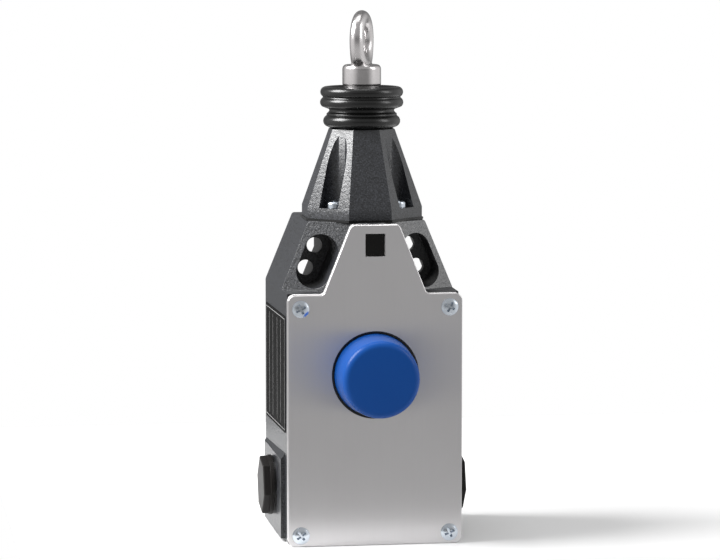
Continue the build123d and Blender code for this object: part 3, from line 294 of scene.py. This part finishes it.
def lathe(profile, segments, place):
    """A closed profile of (radius, height) in millimetres, turned once round.

    place puts (x, y, height) in the frame.
    """
    bm = bmesh.new()
    rings = []
    for radius, height in profile:
        if radius < 1e-6:
            rings.append([bm.verts.new(place(0.0, 0.0, height))])
            continue
        ring = []
        for i in range(segments):
            angle = 2 * math.pi * i / segments
            ring.append(bm.verts.new(place(radius * math.cos(angle), radius * math.sin(angle), height)))
        rings.append(ring)
    for first, second in zip(rings, rings[1:] + rings[:1]):
        if len(first) == 1 and len(second) == 1:
            continue
        for i in range(segments):
            j = (i + 1) % segments
            if len(first) == 1:
                bm.faces.new((first[0], second[i], second[j]))
            elif len(second) == 1:
                bm.faces.new((first[i], first[j], second[0]))
            else:
                bm.faces.new((first[i], first[j], second[j], second[i]))
    return bm


def upright(z0=0.0):
    """Heights run up from z0: a profile turned about the axis of the rod."""
    return lambda x, y, h: (x * MM, y * MM, (z0 + h) * MM)


def facing_front(y0, z0):
    """Heights run to the rear from y0: a profile turned about an axis along Y."""
    return lambda x, y, h: (x * MM, (y0 + h) * MM, (z0 + y) * MM)


def welded(node):
    """A welded copy of a CAD node, with each flat area as one face."""
    bm = bmesh.new()
    bm.from_mesh(NODES[node].data)
    bmesh.ops.remove_doubles(bm, verts=bm.verts, dist=1e-6)
    bmesh.ops.dissolve_limit(bm, angle_limit=math.radians(0.5), verts=bm.verts, edges=bm.edges)
    return bm


def rounded(name, node, width):
    """A CAD node of the housing with its sharp edges rounded by a width in millimetres."""
    least, most = math.radians(28), math.radians(175)
    bm = welded(node)
    edges = [edge for edge in bm.edges if len(edge.link_faces) == 2 and least < edge.calc_face_angle(0.0) < most]
    bmesh.ops.bevel(bm, geom=edges, offset=width * MM, offset_type="OFFSET", segments=2, profile=0.5,
                    affect="EDGES", clamp_overlap=True)
    piece = finish_piece(name, bm, NODES[node].data.materials[0], "housing", (node,), 60.0)
    even = piece.modifiers.new("even_shading", "WEIGHTED_NORMAL")
    even.mode = "FACE_AREA"
    even.weight = 100
    even.keep_sharp = True


def solid_boolean(bm, cutter):
    """bm less cutter, both bmeshes of closed shapes. Both are used up."""
    objects = []
    for source in (bm, cutter):
        mesh = bpy.data.meshes.new("boolean")
        source.to_mesh(mesh)
        source.free()
        item = bpy.data.objects.new("boolean", mesh)
        bpy.context.scene.collection.objects.link(item)
        objects.append(item)
    target, tool = objects
    modifier = target.modifiers.new("cut", "BOOLEAN")
    modifier.object = tool
    modifier.operation = "DIFFERENCE"
    modifier.solver = "EXACT"
    evaluated = target.evaluated_get(bpy.context.evaluated_depsgraph_get())
    result = bmesh.new()
    result.from_mesh(evaluated.to_mesh())
    evaluated.to_mesh_clear()
    for item in objects:
        mesh = item.data
        bpy.data.objects.remove(item)
        bpy.data.meshes.remove(mesh)
    return result


# Sizes in millimetres: the CAD model's own numbers, a pitch for its plain threads, and places read off its boxes
SPIGOT_HEIGHT = 4.0
HOUSING_DRAFT = 1.4
HOUSING_DEPTH = 72.5
COVER_SCREW_R = 4.2
HEAD_SCREW_R = 4.0
SHANK_R = 2.0
THREAD_PITCH = 0.7
MAIN_WIRE = 2.4
BUTTON_WIRE = 1.3
PLUNGER_WIRE = 0.6
HEAD_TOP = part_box("head_casting")[1].z / MM - SPIGOT_HEIGHT
PLATE_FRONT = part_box("cover_plate")[0].y / MM
BUTTON_LOW, BUTTON_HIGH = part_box("reset_button_cap")
BUTTON_Z = (BUTTON_LOW.z + BUTTON_HIGH.z) / 2 / MM
BUTTON_FACE = BUTTON_LOW.y / MM
SCREWS_LOW, SCREWS_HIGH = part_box("cover_screws")
SCREW_X = SCREWS_HIGH.x / MM - COVER_SCREW_R
SCREW_LOW = SCREWS_LOW.z / MM + COVER_SCREW_R
SCREW_HIGH = SCREWS_HIGH.z / MM - COVER_SCREW_R


def bellows():
    """Three round folds with a waist over the lowest, a lid under the washer and a lip below."""
    h = HEAD_TOP
    outer = [(15.0, h + 0.25)]
    outer += arc((15.8, h + 3.7), 2.9, -68, 52, 14)
    outer += arc((16.35, h + 6.9), 0.75, -35, 80, 6)
    outer += [(15.75, h + 8.6), (15.9, h + 9.4)]
    outer += arc((17.6, h + 12.7), 2.6, -52, 58, 14)
    outer += arc((17.5, h + 17.7), 2.6, -58, 118, 18)
    outer += [(15.6, h + 19.35), (14.4, h + 18.9), (12.0, h + 18.95), (9.0, h + 19.1), (5.4, h + 19.15)]
    inner = [(5.4, h + 17.3), (13.0, h + 17.0), (14.0, h + 16.2), (14.0, h + 4.2), (13.35, h + 3.7), (13.35, h + 0.25)]
    bm = lathe(outer + inner, 144, upright())
    piece = finish_piece("bellows_folds", bm, RUBBER, None, ("bellows",), 50.0)
    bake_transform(piece)


def button_cap():
    """The mushroom cap: a nearly flat face, a wide soft edge, a drafted side and a hollow rear."""
    profile = [(0.0, 0.0), (6.0, 0.03), (11.0, 0.12)]
    edge_r = 3.4
    centre = (18.55 - edge_r, 0.32 + edge_r)
    profile += [(centre[0] + edge_r * math.sin(math.radians(a)), centre[1] - edge_r * math.cos(math.radians(a)))
                for a in range(0, 86, 5)]
    profile += [(19.68, 20.5), (19.7, 21.6), (19.55, 23.0), (19.25, 23.2), (16.9, 23.2), (16.6, 22.9), (15.1, 4.0),
                (6.5, 4.0), (6.5, 14.0), (4.0, 14.0), (4.0, 4.0), (0.0, 4.0)]
    bm = lathe(profile, 160, facing_front(BUTTON_FACE, BUTTON_Z))
    finish_piece("button_cap_shell", bm, BLUE, "reset_button", ("reset_button_cap",), 40.0)


def screw(profile, reach, width, depth, top, turn, segments):
    """One screw in its own millimetres: a turned head and shank with a cross cut into it.

    Each slot of the cross is cut by a block that narrows from over the head's top to the cross's floor.
    """
    taper = 0.34
    bm = lathe(profile, segments, lambda x, y, h: (x, y, h))
    for arm in range(2):
        cutter = bmesh.new()
        angle = math.radians(turn + 90 * arm)
        ux, uy = math.cos(angle), math.sin(angle)
        corners = []
        for level, shrink in ((top + 0.5, -0.25), (top - depth, 1.0)):
            r = reach - shrink
            w = (width - taper * shrink) / 2
            for a, b in ((-r, -w), (r, -w), (r, w), (-r, w)):
                corners.append(cutter.verts.new((a * ux - b * uy, a * uy + b * ux, level)))
        for face in ((0, 1, 2, 3), (7, 6, 5, 4), (4, 5, 1, 0), (5, 6, 2, 1), (6, 7, 3, 2), (7, 4, 0, 3)):
            cutter.faces.new([corners[i] for i in face])
        bmesh.ops.recalc_face_normals(cutter, faces=cutter.faces)
        bmesh.ops.recalc_face_normals(bm, faces=bm.faces)
        bm = solid_boolean(bm, cutter)
    return bm


# From a screw's own millimetres to metres, with its head to the front
TO_FRONT = Matrix.Rotation(math.radians(90), 4, "X") @ Matrix.Scale(MM, 4)


def add_copy(result, bm, matrix):
    """Moves a shape into another bmesh."""
    mesh = bpy.data.meshes.new("one")
    bm.to_mesh(mesh)
    bm.free()
    mesh.transform(matrix)
    result.from_mesh(mesh)
    bpy.data.meshes.remove(mesh)


def thread(radius, top, bottom, pitch):
    """The side of a shank as a stack of shallow ridges, for a turned profile, from the top down."""
    points = []
    ridge = 0.24 * pitch
    z = top
    while z - pitch > bottom:
        points += [(radius, z), (radius - ridge, z - pitch * 0.5)]
        z -= pitch
    return points + [(radius - 0.2, bottom + 0.3), (radius - 0.7, bottom)]


def cover_screws():
    """Raised countersunk screws with a rolled edge and a cross recess."""
    r, dome, tip = COVER_SCREW_R, 1.3, -16.0
    ball = (r * r + dome * dome) / (2 * dome)
    half = math.degrees(math.asin(r / ball))
    profile = [(0.0, dome)]
    for i in range(1, 10):
        angle = math.radians(half * i / 10)
        profile.append((ball * math.sin(angle), dome - ball + ball * math.cos(angle)))
    profile += [(r - 0.06, 0.10), (r, -0.05), (r - 0.05, -0.18), (SHANK_R, -2.15)]
    profile += thread(SHANK_R, -2.6, tip, THREAD_PITCH)
    profile += [(0.0, tip)]
    turns = {(-1, 1): 28, (1, 1): 62, (-1, -1): 38, (1, -1): 24}
    result = bmesh.new()
    for (sx, sz), turn in turns.items():
        bm = screw(profile, reach=2.7, width=1.2, depth=2.3, top=dome, turn=turn, segments=64)
        x, z = SCREW_X * sx, SCREW_HIGH if sz > 0 else SCREW_LOW
        add_copy(result, bm, Matrix.Translation(Vector((x, PLATE_FRONT, z)) * MM) @ TO_FRONT)
    finish_piece("cover_screw_heads", result, ZINC, "housing", ("cover_screws",), 32.0)


def head_screws():
    """Pan-head screws on the flange, in the head's four scallops."""
    r, height, rim, tip = HEAD_SCREW_R, 3.3, 1.5, -13.2
    profile = [(0.0, height), (1.6, height - 0.04)]
    profile += [(r - rim + rim * math.sin(math.radians(a)), height - rim + 1.42 * math.cos(math.radians(a)))
                for a in range(10, 91, 10)]
    profile += [(r, 0.12), (r - 0.12, 0.0), (SHANK_R, 0.0)]
    profile += thread(SHANK_R, -0.8, tip, THREAD_PITCH)
    profile += [(0.0, tip)]
    turns = {(-1, -1): 20, (1, -1): 55, (1, 1): 10, (-1, 1): 70}
    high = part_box("head_screws")[1]
    place = high.x / MM - r
    seat = high.z / MM - height
    result = bmesh.new()
    for (sx, sy), turn in turns.items():
        bm = screw(profile, reach=2.5, width=1.2, depth=2.0, top=height, turn=turn, segments=48)
        matrix = Matrix.Translation(Vector((place * sx, place * sy, seat)) * MM) @ Matrix.Scale(MM, 4)
        add_copy(result, bm, matrix)
    finish_piece("head_screw_heads", result, ZINC, "housing", ("head_screws",), 32.0)


def remeshed(bm, voxel, passes):
    """One smooth skin round overlapping closed shapes."""
    mesh = bpy.data.meshes.new("skin")
    bm.to_mesh(mesh)
    bm.free()
    item = bpy.data.objects.new("skin", mesh)
    bpy.context.scene.collection.objects.link(item)
    modifier = item.modifiers.new("skin", "REMESH")
    modifier.mode = "VOXEL"
    modifier.voxel_size = voxel * MM
    evaluated = item.evaluated_get(bpy.context.evaluated_depsgraph_get())
    result = bmesh.new()
    result.from_mesh(evaluated.to_mesh())
    evaluated.to_mesh_clear()
    bpy.data.objects.remove(item)
    bpy.data.meshes.remove(mesh)
    for _ in range(passes):
        bmesh.ops.smooth_vert(result, verts=result.verts, factor=0.5, use_axis_x=True, use_axis_y=True, use_axis_z=True)
    return result


def eye():
    """A forged eye nut: a ring that thickens into a round collar, in one smooth skin."""
    low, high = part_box("eye_nut")
    bottom = low.z / MM
    ring_r, stock = 11.25, 3.5
    centre = high.z / MM - ring_r - stock
    turn = math.radians(-21.0)
    across = Vector((math.cos(turn), math.sin(turn), 0.0))
    along = Vector((-math.sin(turn), math.cos(turn), 0.0))
    bm = bmesh.new()
    steps, sides = 96, 32
    rings = []
    for i in range(steps):
        angle = 2 * math.pi * i / steps
        out = along * math.cos(angle) + Vector((0, 0, math.sin(angle)))
        foot = max(0.0, -math.sin(angle) - 0.25) / 0.75  # 0 round most of the ring, 1 at its lowest point
        girth = stock * (1.0 + 0.22 * foot * foot)
        middle = out * (ring_r - 0.05 * foot) + Vector((0, 0, centre))
        ring = []
        for k in range(sides):
            a = 2 * math.pi * k / sides
            ring.append(bm.verts.new((middle + (out * math.cos(a) + across * math.sin(a) * 0.98) * girth) * MM))
        rings.append(ring)
    for first, second in zip(rings, rings[1:] + rings[:1]):
        for k in range(sides):
            j = (k + 1) % sides
            bm.faces.new((first[k], first[j], second[j], second[k]))
    collar = [(0.0, 0.05), (8.7, 0.05), (9.15, 0.2), (9.38, 0.65), (9.4, 1.4), (9.4, 8.3)]
    collar += arc((7.3, 8.25), 2.08, 0, 90, 8)[1:] + [(0.0, 10.33)]
    add_copy(bm, lathe(collar, 96, upright(z0=bottom)), Matrix.Identity(4))
    root = [(0.0, 8.0), (5.6, 10.0), (4.5, 10.9), (3.9, 12.2), (0.0, 12.4)]
    add_copy(bm, lathe(root, 64, upright(z0=bottom)), Matrix.Identity(4))
    bmesh.ops.recalc_face_normals(bm, faces=bm.faces)
    skin = remeshed(bm, 0.24, 6)
    finish_piece("eye_forging", skin, POLISHED, "pull_rod", ("eye_nut",), 80.0)


def spring(name, node, wire, axis):
    """A round wire spring with closed ends, drawn at the length of its node's box between a fixed and a moving part,
    and tied to neither.

    The wire is in millimetres, and the axis points at the moving body.
    """
    low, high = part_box(node)
    middle = (low + high) / 2 / MM
    size = (high - low) / MM
    length = abs(size.dot(axis))
    side = Vector((0, 0, 1)) if axis.x else Vector((1, 0, 0))
    other = axis.cross(side)
    mean_r = (size.dot(side) - wire) / 2
    turns, steps, sides = 7, 48, 12
    closed = wire * 1.02
    pitch = (length - wire - 2 * closed) / (turns - 2)
    bm = bmesh.new()
    rings = []
    for i in range(turns * steps + 1):
        turn = i / steps
        travel = closed * min(turn, 1) + pitch * min(max(turn - 1, 0), turns - 2) + closed * max(turn - turns + 1, 0)
        angle = 2 * math.pi * turn
        out = side * math.cos(angle) + other * math.sin(angle)
        core = middle + axis * (travel + wire / 2 - length / 2) + out * mean_r
        ring = []
        for k in range(sides):
            a = 2 * math.pi * k / sides
            ring.append(bm.verts.new((core + (out * math.cos(a) + axis * math.sin(a)) * (wire / 2)) * MM))
        rings.append(ring)
    for first, second in zip(rings, rings[1:]):
        for k in range(sides):
            j = (k + 1) % sides
            bm.faces.new((first[k], first[j], second[j], second[k]))
    bm.faces.new(rings[0])
    bm.faces.new(list(reversed(rings[-1])))
    piece = finish_piece(name, bm, SPRING, None, (node,), 50.0)
    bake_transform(piece)


def label():
    """A bare black plate on the left side, with a thin pale border and empty ruled fields."""
    low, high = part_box("rating_label")
    thick = 0.35
    rear_out = low.x / MM
    y0, y1 = low.y / MM, high.y / MM
    z0, z1 = low.z / MM, high.z / MM
    lean = math.atan(HOUSING_DRAFT / HOUSING_DEPTH)
    front_out = rear_out + (y1 - y0) * math.tan(lean)

    def at(along, up, out):
        """A place on the label: along from its front edge, up from its foot, out from its face."""
        x = front_out - (front_out - rear_out) * along / (y1 - y0)
        return ((x - out) * MM, (y0 + along) * MM, (z0 + up) * MM)

    def slab(bm, a0, a1, u0, u1, out0, out1, corner):
        """A flat plate with cut corners and a slightly smaller face."""
        def loop(out, inset):
            c = corner
            points = [(a0 + inset + c, u0 + inset), (a1 - inset - c, u0 + inset), (a1 - inset, u0 + inset + c),
                      (a1 - inset, u1 - inset - c), (a1 - inset - c, u1 - inset), (a0 + inset + c, u1 - inset),
                      (a0 + inset, u1 - inset - c), (a0 + inset, u0 + inset + c)]
            return [bm.verts.new(at(a, u, out)) for a, u in points]
        step = (out1 - out0) * 0.3
        base, shoulder, face = loop(out0, 0.0), loop(out1 - step, 0.0), loop(out1, step)
        for first, second in ((base, shoulder), (shoulder, face)):
            for i in range(8):
                j = (i + 1) % 8
                bm.faces.new((first[i], first[j], second[j], second[i]))
        bm.faces.new(face)
        bm.faces.new(list(reversed(base)))

    width, height = y1 - y0, z1 - z0
    plate = bmesh.new()
    slab(plate, 0.0, width, 0.0, height, -thick, 0.0, 0.9)
    finish_piece("label_plate", plate, LABEL, "housing", ("rating_label",), 30.0)
    lines = bmesh.new()
    edge, line, gap = 1.3, 0.30, 1.6
    left, right, foot, head = edge, width - edge, edge, height - edge
    bars = [(left, right, foot, foot + line), (left, right, head - line, head),
            (left, left + line, foot + line, head - line), (right - line, right, foot + line, head - line)]
    for share in (0.22, 0.40, 0.62, 0.80):
        bars.append((width * share, width * share + line, foot + line + gap, head - line - gap))
    for a0, a1, u0, u1 in bars:
        slab(lines, a0, a1, u0, u1, -0.02, 0.02, 0.01)
    finish_piece("label_rules", lines, LINE, "housing", (), 30.0)


bellows()
button_cap()
cover_screws()
head_screws()
eye()
spring("main_coil", "main_spring", MAIN_WIRE, Vector((0, 0, -1)))
spring("button_coil", "button_spring", BUTTON_WIRE, Vector((0, -1, 0)))
spring("plunger_coil_right", "plunger_spring_right", PLUNGER_WIRE, Vector((-1, 0, 0)))
spring("plunger_coil_left", "plunger_spring_left", PLUNGER_WIRE, Vector((1, 0, 0)))
label()
rounded("housing_casting", "housing_body", width=0.5)
rounded("head_pyramid", "head_casting", width=0.5)
rounded("front_cover", "cover_plate", width=0.05)
rounded("plug_right", "blanking_plug_right", width=0.35)
rounded("plug_left", "blanking_plug_left", width=0.35)


# Stage

MIDDLE = Vector((0.0, 0.0, 0.13))


def area_light(name, power, size, place):
    """A soft box of a power in watts and a size in metres, which faces the middle of the switch."""
    data = bpy.data.lights.new(name, "AREA")
    data.shape = "RECTANGLE"
    data.size, data.size_y = size
    data.energy = power
    light = bpy.data.objects.new(name, data)
    bpy.context.scene.collection.objects.link(light)
    light.location = place
    light.rotation_euler = (MIDDLE - Vector(place)).to_track_quat("-Z", "Y").to_euler()


def polar(azimuth, elevation, distance):
    """A place round the switch: azimuth 0 is in front and 90 on the right."""
    a, e = math.radians(azimuth), math.radians(elevation)
    return Vector((math.sin(a) * math.cos(e), -math.cos(a) * math.cos(e), math.sin(e))) * distance + MIDDLE


area_light("left_softbox", power=33.0, size=(0.70, 0.70), place=polar(-90.0, 41.0, 1.2))
area_light("right_softbox", power=4.8, size=(0.42, 0.8), place=polar(68.0, 28.0, 1.3))
area_light("top_softbox", power=5.0, size=(0.9, 0.6), place=(0.0, 0.10, 1.5))

FLOOR_LEFT, FLOOR_RIGHT, FLOOR_FRONT, FLOOR_REAR = -0.17, 0.42, -0.09, 0.36
floor_corners = [(FLOOR_LEFT, FLOOR_FRONT, 0), (FLOOR_RIGHT, FLOOR_FRONT, 0), (FLOOR_RIGHT, FLOOR_REAR, 0),
                 (FLOOR_LEFT, FLOOR_REAR, 0)]
floor_mesh = bpy.data.meshes.new("floor")
floor_mesh.from_pydata(floor_corners, [], [(0, 1, 2, 3)])
floor = bpy.data.objects.new("floor", floor_mesh)
bpy.context.scene.collection.objects.link(floor)
floor_material, _, floor_shader = shader("pale_floor", (0.72, 0.72, 0.72), 0.8)
floor_shader.inputs["Emission Color"].default_value = (1.0, 1.0, 1.0, 1.0)
floor_shader.inputs["Emission Strength"].default_value = 0.05
floor_mesh.materials.append(floor_material)

# White for the camera. Metal and gloss reflect pale sides, a mid-grey rear, and a front that is darkest at eye level.
world = bpy.data.worlds.new("studio")
bpy.context.scene.world = world
world.use_nodes = True
tree = world.node_tree
background = tree.nodes["Background"]
direction = tree.nodes.new("ShaderNodeTexCoord")
split = tree.nodes.new("ShaderNodeSeparateXYZ")
tree.links.new(direction.outputs["Generated"], split.inputs[0])


def mixed(factor, first, second):
    """Two tones of the world, each a grey value or the output of another step."""
    node = tree.nodes.new("ShaderNodeMix")
    tree.links.new(factor, node.inputs[0])
    for socket, tone in ((node.inputs[2], first), (node.inputs[3], second)):
        if isinstance(tone, float):
            socket.default_value = tone
        else:
            tree.links.new(tone, socket)
    return node.outputs[0]


low_front = remap(tree, split.outputs["Z"], -0.40, 0.10, 0.68, 0.19)
high_front = remap(tree, split.outputs["Z"], 0.12, 0.42, 0.0, 0.34)
behind = remap(tree, split.outputs["Y"], -0.45, 0.05, 0.0, 1.0)
beside = remap(tree, combine(tree, "ABSOLUTE", split.outputs["X"], 0.0), 0.50, 0.90, 0.0, 1.0)
around = mixed(beside, mixed(behind, combine(tree, "ADD", low_front, high_front), 0.24), 0.95)
seen = tree.nodes.new("ShaderNodeLightPath")
tree.links.new(mixed(seen.outputs["Is Camera Ray"], around, 1.0), background.inputs["Color"])
background.inputs["Strength"].default_value = 1.0
bpy.context.scene.view_settings.view_transform = "Standard"

camera_data = bpy.data.cameras.new("camera")
camera_data.sensor_width = 36.0
camera_data.lens = 175.5
camera_data.clip_start = 0.1
camera_data.clip_end = 200.0
camera = bpy.data.objects.new("camera", camera_data)
bpy.context.scene.collection.objects.link(camera)
CAMERA_AT = Vector((-0.25556, -1.68313, 0.30573))
CAMERA_AIM = Vector((-0.0035, -0.0177, 0.1251))
camera.location = CAMERA_AT
camera.rotation_euler = (CAMERA_AIM - CAMERA_AT).to_track_quat("-Z", "Y").to_euler()
bpy.context.scene.camera = camera
